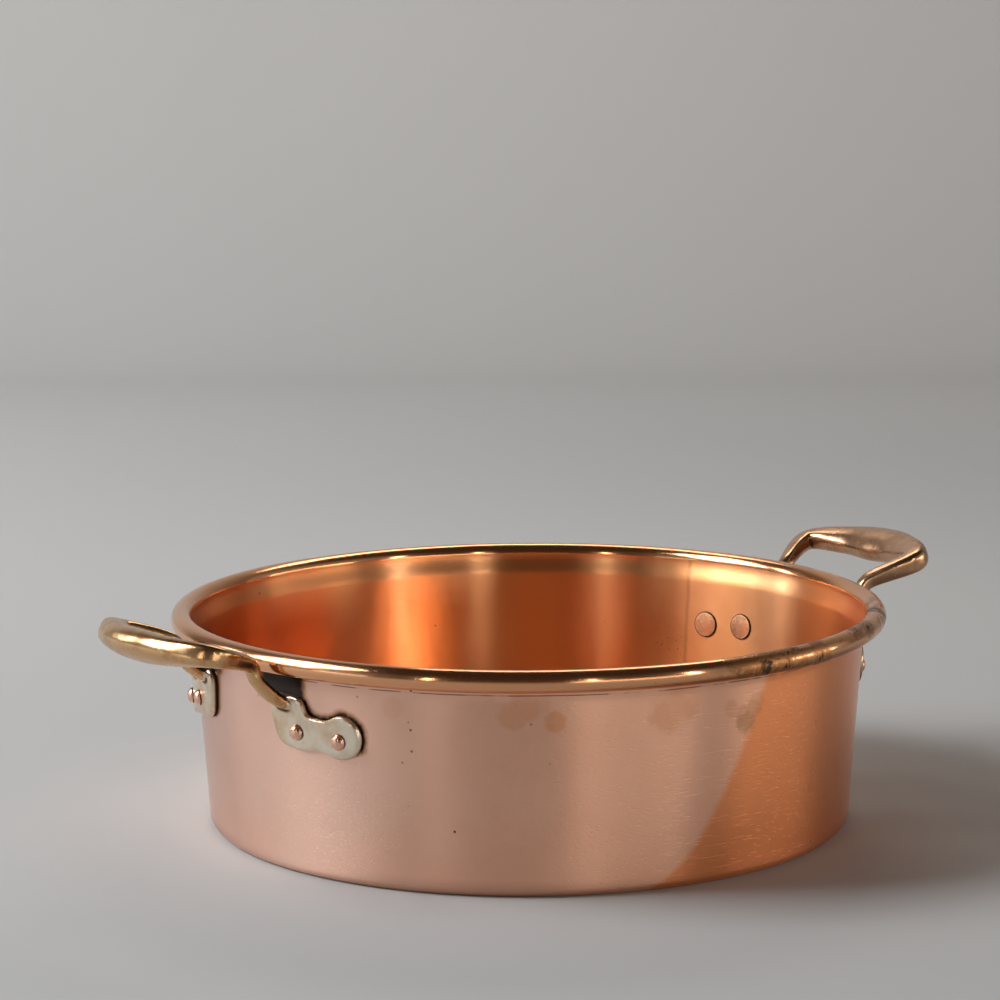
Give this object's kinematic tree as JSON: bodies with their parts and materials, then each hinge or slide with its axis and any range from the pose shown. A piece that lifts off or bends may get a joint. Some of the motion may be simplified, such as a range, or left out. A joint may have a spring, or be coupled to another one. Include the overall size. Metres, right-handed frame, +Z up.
{
  "type": "copper jam pan",
  "caption": "Wide low copper preserving pan with a wired rim and cast brass loop handles riveted to its wall.",
  "frame": {"origin": "middle of the base, on the surface that the pan stands on", "axes": "+Z up along the pan's axis, the two handles along X with the right one at +X, the front towards -Y"},
  "size_m": [0.495, 0.38, 0.1329],
  "materials": {
    "copper": null,
    "rivet_copper": null,
    "brass": "polished casting with dark grime in its corners",
    "iron": "black iron wire"
  },
  "bodies": {
    "root": {"pan_body": "copper", "rim_wire": "iron", "handle_left": "brass", "handle_right": "brass", "rivet_left_front_outer": "rivet_copper", "rivet_left_front_inner": "rivet_copper", "rivet_left_back_inner": "rivet_copper", "rivet_left_back_outer": "rivet_copper", "rivet_right_front_outer": "rivet_copper", "rivet_right_front_inner": "rivet_copper", "rivet_right_back_inner": "rivet_copper", "rivet_right_back_outer": "rivet_copper"}
  },
  "joints": []
}
